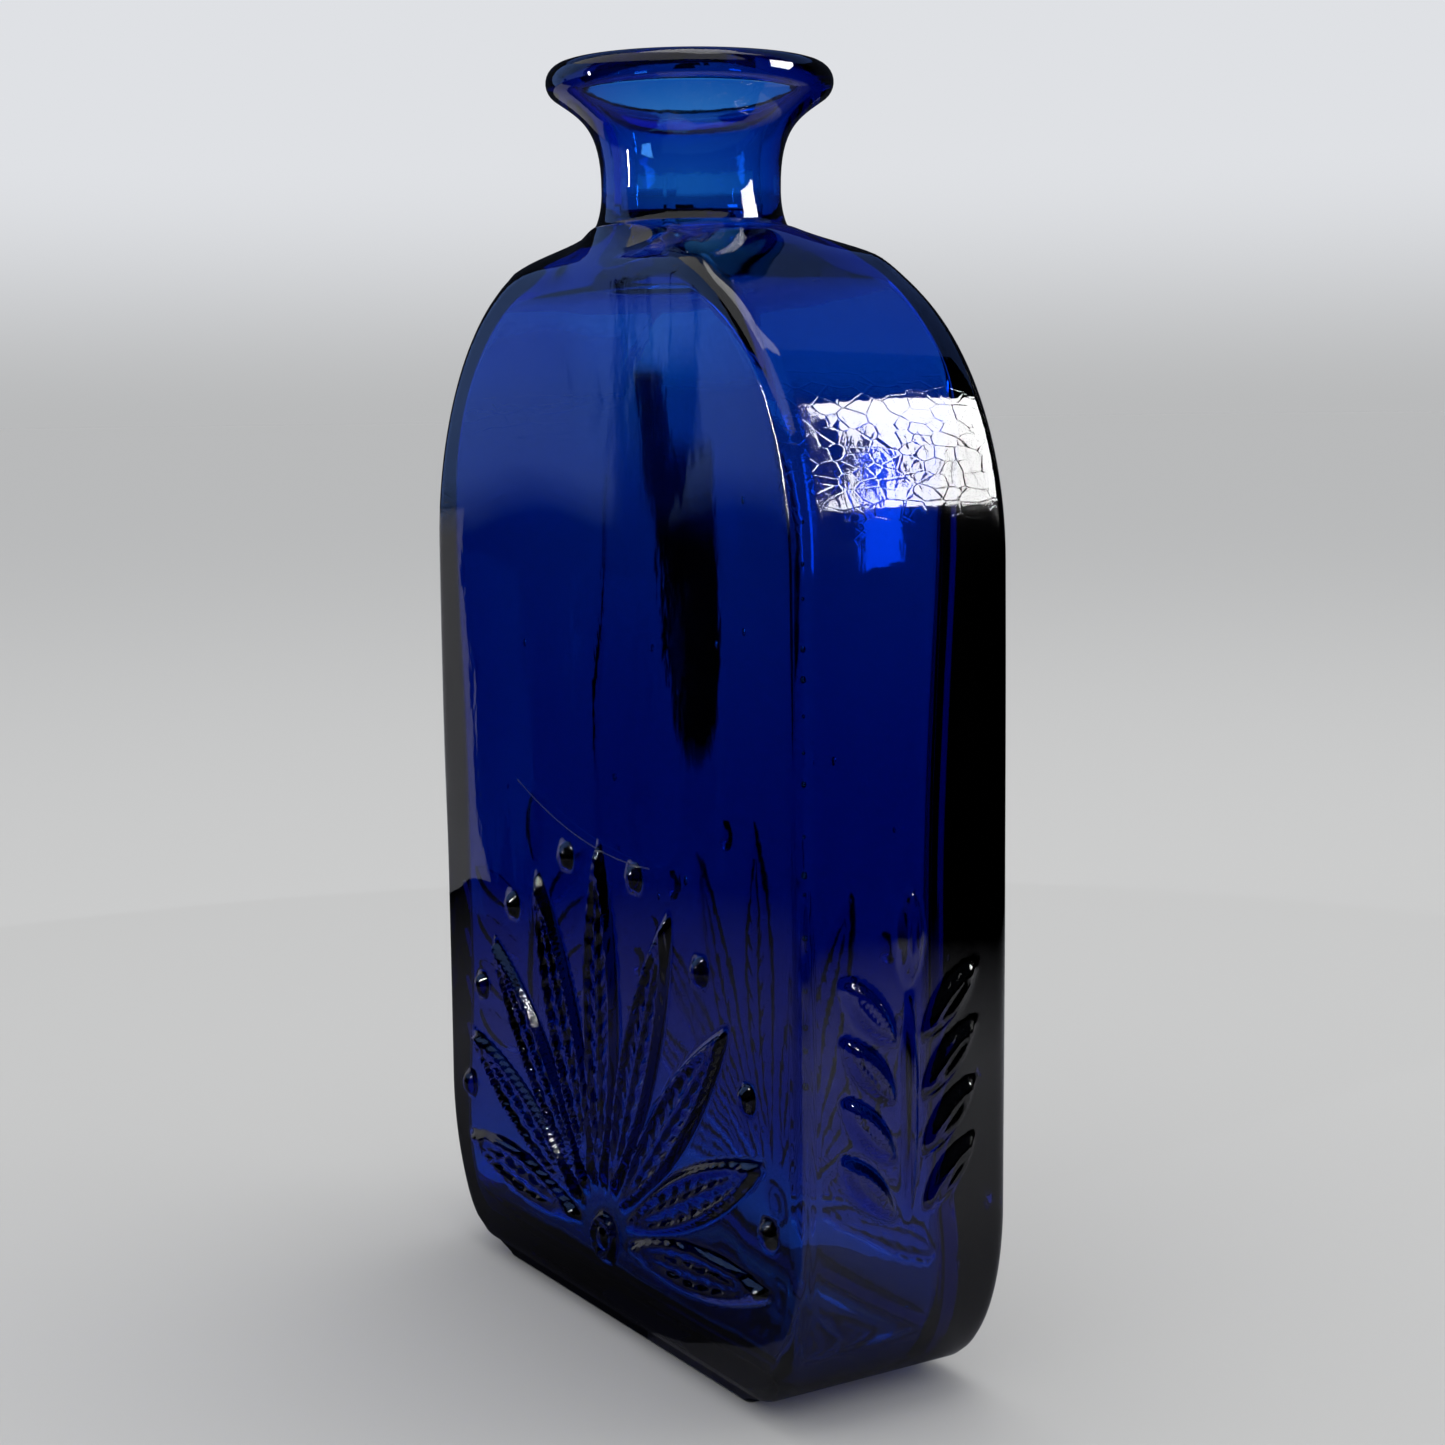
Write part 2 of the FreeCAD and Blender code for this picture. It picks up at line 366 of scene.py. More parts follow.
waist_radius = 14.2
waist_height = 181.0
crease_radius = 15.7
crease_height = 175.2
vault_top = 165.4
throat_start = 166.7
round_start = 169.0
throat_pull = 9.0
crease_pull = 6.0
crease_drop = 0.4


def bezier(start, pull_start, pull_end, end, steps):
    """Points along a cubic curve from start to end, drawn towards its two pulls, without the start."""
    t = np.linspace(0, 1, steps + 1)[1:, None]
    pulls = 3 * (1 - t) * t * ((1 - t) * np.array(pull_start) + t * np.array(pull_end))
    return (1 - t) ** 3 * np.array(start) + pulls + t**3 * np.array(end)


vault_turn = np.linspace(0, math.asin((vault_top - shoulder_start) / shoulder_radius), 27)[1:]
vault_end = np.array([outline_reach(vault_top, 0, foot_height), vault_top])
vault_way = np.array([-math.sin(vault_turn[-1]), math.cos(vault_turn[-1])])
throat_line = bezier(
    vault_end,
    vault_end + throat_pull * vault_way,
    (crease_radius + crease_pull, crease_height - crease_drop),
    (crease_radius, crease_height),
    18,
)
vault_heights = shoulder_start + shoulder_radius * np.sin(vault_turn)
shoulder_heights = np.concatenate([vault_heights, throat_line[:, 1]])
shoulder_rings = body_rings(shoulder_heights)
shoulder_rings[1, len(vault_heights):] = throat_line[:, 0]
throat_share = smooth((shoulder_heights - throat_start) / (crease_height - throat_start))
shoulder_rings[2] = half_depth - (half_depth - crease_radius) * throat_share
shoulder_rings[5] = smooth((shoulder_heights - round_start) / (crease_height - round_start))

# Neck and lip: the drawn neck, finished by hand. Its end was reheated, flared out with a tool and
# rolled over into a round rim, and the bore widens into the mouth.

lip_reach = span("lip")[1][0]
neck_top = span("lip")[0][2]
neck_bore = next(mount for mount in frame["record"]["mounts"] if mount["name"] == "neck_bore")
bore_radius = neck_bore["dims"]["r_mm"]
roll_radius = 2.9
roll_centre = lip_reach - roll_radius
roll_height = rim_top - roll_radius
roll_start = math.radians(-52)
flare_end_radius = roll_centre + roll_radius * math.cos(roll_start)
flare_end_height = roll_height + roll_radius * math.sin(roll_start)
mouth_edge = 1.2
mouth_start = np.array([roll_centre - mouth_edge, rim_top - mouth_edge])
mouth_start_pull = np.array([-1.2, -2.3])
mouth_end_pull = (bore_radius + 0.3, neck_top + 4.6)
bore_top = neck_top - 4.4
neck_start = (crease_radius - 0.4, crease_height + 0.1)
neck_start_pull = (waist_radius + 0.7, crease_height + 0.9)
neck_end_pull = (waist_radius, waist_height - 3.0)
flare_start_pull = (waist_radius - 0.2, waist_height + 9.5)
flare_end_pull = (waist_radius + 3.0, waist_height + 11.0)


def turned(radius, height):
    """Rings of a turned stretch, which are circles."""
    return rings(height, radius, radius, 0, 0, 1)


neck_line = bezier(
    neck_start,
    neck_start_pull,
    neck_end_pull,
    (waist_radius, waist_height),
    12,
)
neck_rings = turned(neck_line[:, 0], neck_line[:, 1])
flare_line = bezier(
    (waist_radius, waist_height),
    flare_start_pull,
    flare_end_pull,
    (flare_end_radius, flare_end_height),
    16,
)
flare_rings = turned(flare_line[:, 0], flare_line[:, 1])
roll_turn = np.linspace(roll_start, math.pi / 2, 13)[1:]
roll_rings = turned(
    roll_centre + roll_radius * np.cos(roll_turn),
    roll_height + roll_radius * np.sin(roll_turn),
)
edge_quarter = np.linspace(0, math.pi / 2, 7)[1:]
mouth_edge_rings = turned(
    roll_centre - mouth_edge * np.sin(edge_quarter),
    rim_top - mouth_edge * (1 - np.cos(edge_quarter)),
)
mouth_line = bezier(
    mouth_start,
    mouth_start + mouth_start_pull,
    mouth_end_pull,
    (bore_radius, bore_top),
    14,
)
mouth_rings = np.concatenate([mouth_edge_rings, turned(mouth_line[:, 0], mouth_line[:, 1])], axis=1)
upper_rings = [side_rings, shoulder_rings, neck_rings, flare_rings, roll_rings]
upper = cooled(surface(np.concatenate(upper_rings, axis=1), coarse))

# Inside: the free surface of the blown bubble, which nothing pressed flat, so that it wanders. The
# bubble sits off centre: the front wall is thin, the back and left walls swell lower down, and the
# glass lies thick in the back right corner.

thin_wall = 3.2
inner_depth = half_depth - thin_wall
back_swell = 1.6
low_swell = 2.7
swell_top = 152.0
swell_fade = 25.0
low_swell_top = 140.0
low_swell_fade = 65.0
swell_rise = 45.0
base_thickness = 4.0
inner_floor = foot_height + base_thickness
inner_heel_end = 0.15
floor_middle = 0.12
inner_edge = 5.0
inner_corner = 0.5
thick_corner = 8.5
thick_corner_turn = math.radians(45)
thick_corner_edge = 0.3
thick_corner_blend = 0.5
thick_corner_top = 156.0
thick_corner_fade = 26.0
inner_vault_top = 164.0
inner_throat_start = 163.0
inner_round_start = 165.0
inner_round_end = 174.0
inner_throat_pull = 11.0
bore_low = 174.0
bore_pull = 4.5
wander = 0.22
wander_wave = 55.0
wander_stretch = 2.5
wander_seed = 5
wander_fade_low = 15.0
wander_fade_high = 20.0

bore_rings = turned(bore_radius, np.linspace(bore_top, bore_low, 5)[1:])
inner_turn = math.asin((inner_vault_top - shoulder_start) / (shoulder_radius - wall))
inner_vault_end = np.array([outline_reach(inner_vault_top, wall, inner_floor), inner_vault_top])
inner_vault_way = np.array([-math.sin(inner_turn), math.cos(inner_turn)])
inner_throat = bezier(
    (bore_radius, bore_low),
    (bore_radius, bore_low - bore_pull),
    inner_vault_end + inner_throat_pull * inner_vault_way,
    inner_vault_end,
    12,
)[:-1]
inner_heel_turn = np.linspace(math.pi / 2, inner_heel_end, 10)[1:]
inner_heights = np.concatenate([
    inner_throat[:, 1],
    shoulder_start + (shoulder_radius - wall) * np.sin(np.linspace(inner_turn, 0, 18)),
    np.linspace(shoulder_start, heel_top, 22)[1:],
    heel_top - (heel_top - inner_floor) * np.cos(inner_heel_turn),
])
inner_width = outline_reach(inner_heights, wall, inner_floor)
inner_width[:len(inner_throat)] = inner_throat[:, 0]
inner_rings = rings(
    inner_heights,
    inner_width,
    depth_reach(inner_heights, inner_depth, inner_edge, inner_floor),
    inner_width - inner_corner,
    0,
    smooth((inner_heights - inner_round_start) / (inner_round_end - inner_round_start)),
)
inner_throat_share = (inner_heights - inner_throat_start) / (bore_low - inner_throat_start)
inner_rings[2] -= (inner_depth - bore_radius) * smooth(inner_throat_share)
inner_rings[4] = inner_rings[2] - inner_corner
thick_rings = inner_rings.copy()
thick_share = smooth((thick_corner_top - inner_heights) / thick_corner_fade)
thick_rings[3:5] -= (thick_corner - inner_corner) * thick_share
floor_share = np.linspace(1, floor_middle, 8)[1:]
floor_rings = rings(inner_rings[0, -1], *(inner_rings[1:5, -1:] * floor_share))
inside_rings = [mouth_rings, bore_rings, inner_rings, floor_rings]
inside = surface(np.concatenate(inside_rings, axis=1), coarse)
first_row = mouth_rings.shape[1] + bore_rings.shape[1]
bubble = slice(first_row, first_row + inner_rings.shape[1])
thick_nearness = np.cos(coarse[4] - thick_corner_turn)
thick_side = smooth((thick_nearness - thick_corner_edge) / thick_corner_blend)[:, None]
inside[bubble] += thick_side * (surface(thick_rings, coarse) - inside[bubble])
swelling = back_swell * smooth((swell_top - inner_heights) / swell_fade)
swelling = swelling + low_swell * smooth((low_swell_top - inner_heights) / low_swell_fade)
swelling *= smooth((inner_heights - inner_floor) / swell_rise)
inside[bubble, :, 0] += np.outer(swelling, np.clip(-coarse[0], 0, 1))
inside[bubble, :, 1] -= np.outer(swelling, np.clip(coarse[2], 0, 1))
inside_height = inside[..., 2]
inside_hold = smooth((inside_height - inner_floor) / wander_fade_low)
inside_hold = inside_hold * smooth((bore_low - inside_height) / wander_fade_high)
inside_sway = sway(inside, wander_wave, wander_stretch, wander_seed)
inside += (wander * inside_hold * inside_sway)[..., None] * outward(inside)

# Seeds: small bubbles of air caught in the gather, drawn long by the blowing. Some lie in a row
# behind the seam, where the mould's halves shut, and the others anywhere in the walls.

row_seeds = 16
row_span = (52, 132)
row_jitter = 2.0
row_inset = 1.9
row_radii = (0.16, 0.34)
wall_seeds = 26
wall_reach = 48
wall_span = (24, 138)
wall_radii = (0.18, 0.48)
seed_depth = 2.0
seed_draw = np.random.default_rng(23)
row_height = np.linspace(*row_span, row_seeds) + seed_draw.uniform(-row_jitter, row_jitter, row_seeds)
row_way = np.array([half_width - row_inset, -half_depth + row_inset])
row_place = np.stack([*(row_way[:, None] + 0 * row_height), row_height], axis=1)
wall_x = seed_draw.uniform(-wall_reach, wall_reach, wall_seeds)
wall_y = seed_draw.choice([-1, 1], wall_seeds) * (half_depth - seed_depth)
wall_place = np.stack([wall_x, wall_y, seed_draw.uniform(*wall_span, wall_seeds)], axis=1)
seed_place = np.concatenate([row_place, wall_place])
seed_radius = np.concatenate([
    seed_draw.uniform(*row_radii, row_seeds),
    seed_draw.uniform(*wall_radii, wall_seeds),
])
seed_stretch = np.array([1, 1, 1.7])
seed_around = 8
seed_rings = 4


def ball():
    """Points of a small ball of radius 1: its rings from low to high, then its bottom and top."""
    tilt = np.linspace(-math.pi / 2, math.pi / 2, seed_rings + 2)[1:-1, None]
    turn = np.arange(seed_around) * 2 * math.pi / seed_around
    grid = np.stack(np.broadcast_arrays(
        np.cos(tilt) * np.cos(turn), np.cos(tilt) * np.sin(turn), np.sin(tilt)), axis=-1)
    return np.concatenate([grid.reshape(-1, 3), [[0, 0, -1], [0, 0, 1]]])


seeds = seed_place[:, None] + seed_radius[:, None, None] * seed_stretch * ball()

# Glass: the whole bottle as one continuous piece of glass, from the foot over the lip to the inner
# floor, because its stretches have no faces between them that light would meet.

shells = [lower, band, upper, inside]
counts = [shell.shape[0] * shell.shape[1] for shell in shells]
starts = np.cumsum([0] + counts)


def quads(ring_ids):
    """Faces between neighbouring rings and columns, closed round the bottle."""
    ahead = np.roll(ring_ids, -1, axis=1)
    corners = [ring_ids[:-1], ahead[:-1], ahead[1:], ring_ids[1:]]
    return np.stack(corners, axis=-1).reshape(-1, 4).tolist()


def stitches(coarse_ring, fine_ring, upwards):
    """Five-sided faces that join a ring to one with twice as many columns."""
    ahead = np.roll(coarse_ring, -1)
    fine_ahead = np.roll(fine_ring[::2], -1)
    faces = np.stack([coarse_ring, ahead, fine_ahead, fine_ring[1::2], fine_ring[::2]], axis=-1)
    return (faces if upwards else faces[:, ::-1]).tolist()


def cap(ring, pole, upwards):
    """Triangles from a ring to the point in its middle."""
    ahead = np.roll(ring, -1)
    faces = np.stack([ring, ahead, np.full_like(ring, pole)], axis=-1)
    return (faces if upwards else faces[:, ::-1]).tolist()


lower_ids, band_ids, upper_ids, inside_ids = (
    start + np.arange(count).reshape(shell.shape[:2])
    for start, count, shell in zip(starts, counts, shells)
)
poles = np.array([[0, 0, push_up], [0, 0, inside[-1, 0, 2]]])
pole_low = starts[-1]
pole_high = pole_low + 1
faces = cap(lower_ids[0], pole_low, False) + quads(lower_ids)
faces += stitches(lower_ids[-1], band_ids[0], True) + quads(band_ids)
faces += stitches(upper_ids[0], band_ids[-1], False)
faces += quads(np.concatenate([upper_ids, inside_ids])) + cap(inside_ids[-1], pole_high, True)
seed_size = seed_around * seed_rings + 2
seed_starts = pole_high + 1 + seed_size * np.arange(len(seeds))
for start in seed_starts:
    seed_ids = start + np.arange(seed_around * seed_rings).reshape(seed_rings, seed_around)[:, ::-1]
    faces += cap(seed_ids[0], start + seed_size - 2, False) + quads(seed_ids)
    faces += cap(seed_ids[-1], start + seed_size - 1, True)
points = [shell.reshape(-1, 3) for shell in shells] + [poles, seeds.reshape(-1, 3)]
glass_mesh = bpy.data.meshes.new("bottle_glass")
glass_mesh.from_pydata((np.concatenate(points) / 1000).tolist(), [], faces)
glass_mesh.polygons.foreach_set("use_smooth", np.ones(len(faces), bool))
glass_mesh.update()
bottle = bpy.data.objects.new("bottle_glass", glass_mesh)
bpy.context.scene.collection.objects.link(bottle)


def add(tree, kind, settings=None, sockets=None):
    """Adds a node, sets its own settings, and fills its sockets with values or with links."""
    made = tree.nodes.new(kind)
    for name, value in (settings or {}).items():
        setattr(made, name, value)
    for name, value in (sockets or {}).items():
        if isinstance(value, bpy.types.NodeSocket):
            tree.links.new(value, made.inputs[name])
        else:
            made.inputs[name].default_value = value
    return made


def linear(hex_colour):
    """An sRGB hex colour as linear red, green, blue and 1."""
    parts = np.array([int(hex_colour[i:i + 2], 16) for i in (1, 3, 5)]) / 255
    low = parts / 12.92
    high = ((parts + 0.055) / 1.055) ** 2.4
    return (*np.where(parts <= 0.04045, low, high).tolist(), 1.0)


# Cobalt glass: soda-lime glass coloured all through, moulded and then polished by the flame. It is
# black where it is thick and royal blue where it is thin. Its skin has faint ripples drawn upwards,
# wrinkles and fine cracks where the mould was cold, a film of handling and one long scratch.

cobalt = bpy.data.materials.new("cobalt_glass")
cobalt.use_nodes = True
tree = cobalt.node_tree
tree.nodes.clear()
place = add(tree, "ShaderNodeTexCoord").outputs["Object"]
drawn = add(tree, "ShaderNodeMapping", None, {"Vector": place, "Scale": (1, 1, 0.4)})
ripple_mm = 5.0
ripples = add(tree, "ShaderNodeTexNoise", None, {
    "Vector": drawn.outputs["Vector"], "Scale": 1000 / ripple_mm, "Detail": 3.0, "Roughness": 0.45})
wrinkle_mm = 4.5
wrinkles = add(tree, "ShaderNodeTexNoise", None, {
    "Vector": place, "Scale": 1000 / wrinkle_mm, "Detail": 3.0, "Distortion": 1.2})
axes = add(tree, "ShaderNodeSeparateXYZ", None, {"Vector": place})
end_reach = (0.046, 0.055)
cold_heights = (0.126, 0.137)
neck_heights = (0.170, 0.176)
neck_wrinkling = 1.5
wrinkle_share = 0.8
outer_ends = add(tree, "ShaderNodeMath", {"operation": "ABSOLUTE"}, {0: axes.outputs["X"]})
on_end = add(tree, "ShaderNodeMapRange", {"interpolation_type": "SMOOTHSTEP"}, {
    "Value": outer_ends.outputs[0], "From Min": end_reach[0], "From Max": end_reach[1]})
high_up = add(tree, "ShaderNodeMapRange", {"interpolation_type": "SMOOTHSTEP"}, {
    "Value": axes.outputs["Z"], "From Min": cold_heights[0], "From Max": cold_heights[1]})
cold_end = add(tree, "ShaderNodeMath", {"operation": "MULTIPLY"}, {
    0: on_end.outputs["Result"], 1: high_up.outputs["Result"]})
on_neck = add(tree, "ShaderNodeMapRange", {"interpolation_type": "SMOOTHSTEP"}, {
    "Value": axes.outputs["Z"], "From Min": neck_heights[0], "From Max": neck_heights[1],
    "To Max": neck_wrinkling})
cold = add(tree, "ShaderNodeMath", {"operation": "MAXIMUM"}, {
    0: cold_end.outputs[0], 1: on_neck.outputs["Result"]})
skin_share = add(tree, "ShaderNodeMapRange", None, {
    "Value": cold.outputs[0], "To Min": 0.0, "To Max": wrinkle_share})
skin = add(tree, "ShaderNodeMath", {"operation": "MULTIPLY_ADD"}, {
    0: wrinkles.outputs["Fac"], 1: skin_share.outputs["Result"], 2: ripples.outputs["Fac"]})
crackle_mm = 3.0
crack_half_width = 0.07
crack_depth = -0.4
skin_depth = 0.00002
flat_cells = add(tree, "ShaderNodeMapping", None, {"Vector": place, "Scale": (1, 0.8, 1.5)})
cells = add(tree, "ShaderNodeTexVoronoi", {"feature": "DISTANCE_TO_EDGE"}, {
    "Vector": flat_cells.outputs["Vector"], "Scale": 1000 / crackle_mm, "Randomness": 0.85})
crease = add(tree, "ShaderNodeMapRange", {"interpolation_type": "SMOOTHSTEP"}, {
    "Value": cells.outputs["Distance"], "From Min": 0.0, "From Max": crack_half_width,
    "To Min": crack_depth, "To Max": 0.0})
creased = add(tree, "ShaderNodeMath", {"operation": "MULTIPLY_ADD"}, {
    0: crease.outputs["Result"], 1: cold_end.outputs[0], 2: skin.outputs[0]})
skin_bump = add(tree, "ShaderNodeBump", None, {
    "Strength": 1.0, "Distance": skin_depth, "Height": creased.outputs[0]})

smear_mm = 16.0
smear_edges = (0.42, 0.72)
clean_roughness = 0.012
smear_roughness = 0.07
smears = add(tree, "ShaderNodeTexNoise", None, {
    "Vector": drawn.outputs["Vector"], "Scale": 1000 / smear_mm, "Detail": 5.0, "Roughness": 0.6})
film = add(tree, "ShaderNodeMapRange", {"interpolation_type": "SMOOTHSTEP"}, {
    "Value": smears.outputs["Fac"], "From Min": smear_edges[0], "From Max": smear_edges[1],
    "To Min": clean_roughness, "To Max": smear_roughness})

scratch_radius = 0.093
scratch_middle = (0.011, 0.0, 0.1705)
scratch_half_width = 0.00013
scratch_offset = -0.006
scratch_reach = 0.022
scratch_face = -0.0175
scratch_roughness = 0.45
flat_place = add(tree, "ShaderNodeMapping", None, {"Vector": place, "Scale": (1, 0, 1)})
from_middle = add(tree, "ShaderNodeVectorMath", {"operation": "DISTANCE"}, {
    0: flat_place.outputs["Vector"], 1: scratch_middle})
off_line = add(tree, "ShaderNodeMath", {"operation": "SUBTRACT"}, {
    0: from_middle.outputs["Value"], 1: scratch_radius})
on_line = add(tree, "ShaderNodeMath", {"operation": "COMPARE"}, {
    0: off_line.outputs[0], 1: 0.0, 2: scratch_half_width})
along_line = add(tree, "ShaderNodeMath", {"operation": "SUBTRACT"}, {
    0: axes.outputs["X"], 1: scratch_offset})
in_reach = add(tree, "ShaderNodeMath", {"operation": "COMPARE"}, {
    0: along_line.outputs[0], 1: 0.0, 2: scratch_reach})
on_front = add(tree, "ShaderNodeMath", {"operation": "LESS_THAN"}, {
    0: axes.outputs["Y"], 1: scratch_face})
scratch_part = add(tree, "ShaderNodeMath", {"operation": "MULTIPLY"}, {
    0: on_line.outputs[0], 1: in_reach.outputs[0]})
scratch = add(tree, "ShaderNodeMath", {"operation": "MULTIPLY"}, {
    0: scratch_part.outputs[0], 1: on_front.outputs[0]})
rough = add(tree, "ShaderNodeMath", {"operation": "MULTIPLY_ADD"}, {
    0: scratch.outputs[0], 1: scratch_roughness, 2: film.outputs["Result"]})
glass = add(tree, "ShaderNodeBsdfPrincipled", None, {
    "Base Color": (1, 1, 1, 1),
    "Roughness": rough.outputs[0],
    "IOR": 1.52,
    "Transmission Weight": 1.0,
    "Normal": skin_bump.outputs["Normal"],
})
absorption = add(tree, "ShaderNodeVolumeAbsorption", None, {
    "Color": (0.0, 0.52, 0.845, 1),
    "Density": 900.0,
})
add(tree, "ShaderNodeOutputMaterial", None, {
    "Surface": glass.outputs["BSDF"],
    "Volume": absorption.outputs["Volume"],
})
glass_mesh.materials.append(cobalt)
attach(bottle, "root")
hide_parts(*frame["nodes"])

# Floor: a plain pale sheet that runs out of sight, matte, so that it only takes the soft shadow.

floor_reach = 30.0
corners = [(-1, -1), (1, -1), (1, 1), (-1, 1)]
floor_mesh = bpy.data.meshes.new("floor")
floor_mesh.from_pydata([(floor_reach * x, floor_reach * y, 0) for x, y in corners], [], [(0, 1, 2, 3)])
floor = bpy.data.objects.new("floor", floor_mesh)
bpy.context.scene.collection.objects.link(floor)
paper = bpy.data.materials.new("pale_paper")
paper.use_nodes = True
paper.node_tree.nodes["Principled BSDF"].inputs["Base Color"].default_value = linear("#cfcecb")
paper.node_tree.nodes["Principled BSDF"].inputs["Roughness"].default_value = 0.9
floor_mesh.materials.append(paper)

# Room: a plain pale room, a little dimmer at the floor's far edge, with a soft box overhead and one
# at the right that stands for a window. A slit at the left gives the glints on the relief, and a
# small pane behind shows only through the glass.

room = bpy.data.worlds.new("room")
room.use_nodes = True
room_tree = room.node_tree
room_tree.nodes.clear()
direction = add(room_tree, "ShaderNodeTexCoord").outputs["Generated"]
upward = add(room_tree, "ShaderNodeSeparateXYZ", None, {"Vector": direction})
share = add(room_tree, "ShaderNodeMapRange", {"interpolation_type": "SMOOTHSTEP"}, {
    "Value": upward.outputs["Z"], "From Min": -0.005, "From Max": 0.10})
shade = add(room_tree, "ShaderNodeMix", {"data_type": "RGBA"}, {"Factor": share.outputs["Result"]})
shade.inputs[6].default_value = linear("#b9babb")
shade.inputs[7].default_value = linear("#dfe1e5")
light = add(room_tree, "ShaderNodeBackground", None, {"Color": shade.outputs[2], "Strength": 1.0})
add(room_tree, "ShaderNodeOutputWorld", None, {"Surface": light.outputs["Background"]})
bpy.context.scene.world = room


def soft_box(name, turn, rise, distance, width, height, watts, tilt=0.0):
    """A rectangular lamp seen from the bottle's middle at a turn from +X and a rise above level, in
    degrees, at a distance in metres, facing that middle and tilted about that way in degrees."""
    middle = Vector((0, 0, 0.12))
    turn, rise = math.radians(turn), math.radians(rise)
    way = Vector((math.cos(turn) * math.cos(rise), math.sin(turn) * math.cos(rise), math.sin(rise)))
    data = bpy.data.lights.new(name, "AREA")
    data.shape = "RECTANGLE"
    data.size = width
    data.size_y = height
    data.energy = watts
    lamp = bpy.data.objects.new(name, data)
    lamp.location = middle + distance * way
    lamp.rotation_mode = "QUATERNION"
    lamp.rotation_quaternion = way.to_track_quat("Z", "Y") @ Quaternion((0, 0, 1), math.radians(tilt))
    lamp.visible_camera = False
    bpy.context.scene.collection.objects.link(lamp)
    return lamp


soft_box("overhead_box", 100, 80, 1.3, 0.9, 0.9, 5.0)
window = soft_box("window_box", 49.9, 25, 1.0, 0.34, 0.58, 12.4, -23.0)
window.visible_diffuse = False
slit = soft_box("slit_box", -115, 9.3, 0.31, 0.012, 0.08, 0.18)
slit.visible_diffuse = False
pane = soft_box("pane_box", 139.1, -2.6, 0.312, 0.018, 0.026, 0.0048, -6.0)
pane.visible_diffuse = False
pane.visible_glossy = False

# Flags: cards that only the glass sees, as a photographer of glass puts them up, whose colours are painted
# reflections and painted shade: black and dim ones paint dark surroundings, grey and cool ones paint pale
# and bluish reflections, and glowing ones paint the bright sky behind the neck. The camera, the floor and
# the shadows don't see them.


def painted_card_material(name, glow):
    """A matte material for the cards in their painted colours, which can also glow with them as painted
    light.
    """
    card_material = bpy.data.materials.new(name)
    card_material.use_nodes = True
    painted_colour = add(card_material.node_tree, "ShaderNodeVertexColor", {"layer_name": "painted_colour"})
    matte = card_material.node_tree.nodes["Principled BSDF"]
    matte.inputs["Specular IOR Level"].default_value = 0.0
    matte.inputs["Emission Strength"].default_value = glow
    for socket in ("Base Color", "Emission Color"):
        card_material.node_tree.links.new(painted_colour.outputs["Color"], matte.inputs[socket])
    card_material.node_tree.links.new(painted_colour.outputs["Alpha"], matte.inputs["Alpha"])
    return card_material


painted_reflection = painted_card_material("painted_reflection", 0.0)
painted_glow = painted_card_material("painted_glow", 0.6)


# Each card's colour is a painted reflection or painted shade: it stands in for what the glass would mirror
# or show through it.
def flag(name, start, end, turns, colours, seen="both",
         rounding=0.0, fade=(0.0, 0.0, 0.0), card_material=painted_reflection):
    """A card bent round the bottle's axis: the line from a start to an end, each a radius and a height
    in metres, swept between two turns in degrees from +X, with the start's corners rounded off. Its
    colour runs from one at the start to another at the end, and it fades in over a share of its
    height at the start, of its half width at the sides and of its height at the end. It is seen in
    mirrored light, through the glass, or both."""
    rise = np.linspace(0, 1, 25)[:, None]
    aside = np.linspace(-1, 1, 49)
    sweep = np.radians(np.interp(aside, (-1, 1), turns))
    radius = start[0] + (end[0] - start[0]) * rise
    bottom = start[1] + rounding * (1 - np.sqrt(1 - aside * aside))
    height = bottom + (end[1] - bottom) * rise
    grid = np.stack([radius * np.cos(sweep), radius * np.sin(sweep), height], axis=-1)
    ids = np.arange(grid[..., 0].size).reshape(grid.shape[:2])
    card_faces = np.stack([ids[:-1, :-1], ids[:-1, 1:], ids[1:, 1:], ids[1:, :-1]], axis=-1).reshape(-1, 4)
    low, high = (np.array(linear(colour)) for colour in colours)
    card_colours = low + (high - low) * rise[..., None] + 0 * grid[..., :1]
    cover = smooth(rise / (fade[0] + 1e-6)) * smooth((1 - np.abs(aside)) / (fade[1] + 1e-6))
    cover = cover * smooth((1 - rise) / (fade[2] + 1e-6))
    card_colours[..., 3] = np.where(np.array(fade).any(), cover, 1.0)
    card_mesh = bpy.data.meshes.new(name)
    card_mesh.from_pydata(grid.reshape(-1, 3).tolist(), [], card_faces.tolist())
    card_mesh.color_attributes.new("painted_colour", "FLOAT_COLOR", "POINT").data.foreach_set("color", card_colours.ravel())
    card_mesh.materials.append(card_material)
    card = bpy.data.objects.new(name, card_mesh)
    card.visible_camera = False
    card.visible_diffuse = False
    card.visible_shadow = False
    card.visible_glossy = seen != "through"
    card.visible_transmission = seen != "mirrored"
    bpy.context.scene.collection.objects.link(card)


# Colours of the painted light on the cards: black and dim paint shade, grey paints a pale reflection, cool
# a bluish reflection and sky a bright sky.
black = ("#050505", "#050505")
grey = ("#b9b9be", "#b9b9be")
dim = ("#20242e", "#20242e")
cool = ("#84acff", "#84acff")
sky = ("#fff8dc", "#fff8dc")
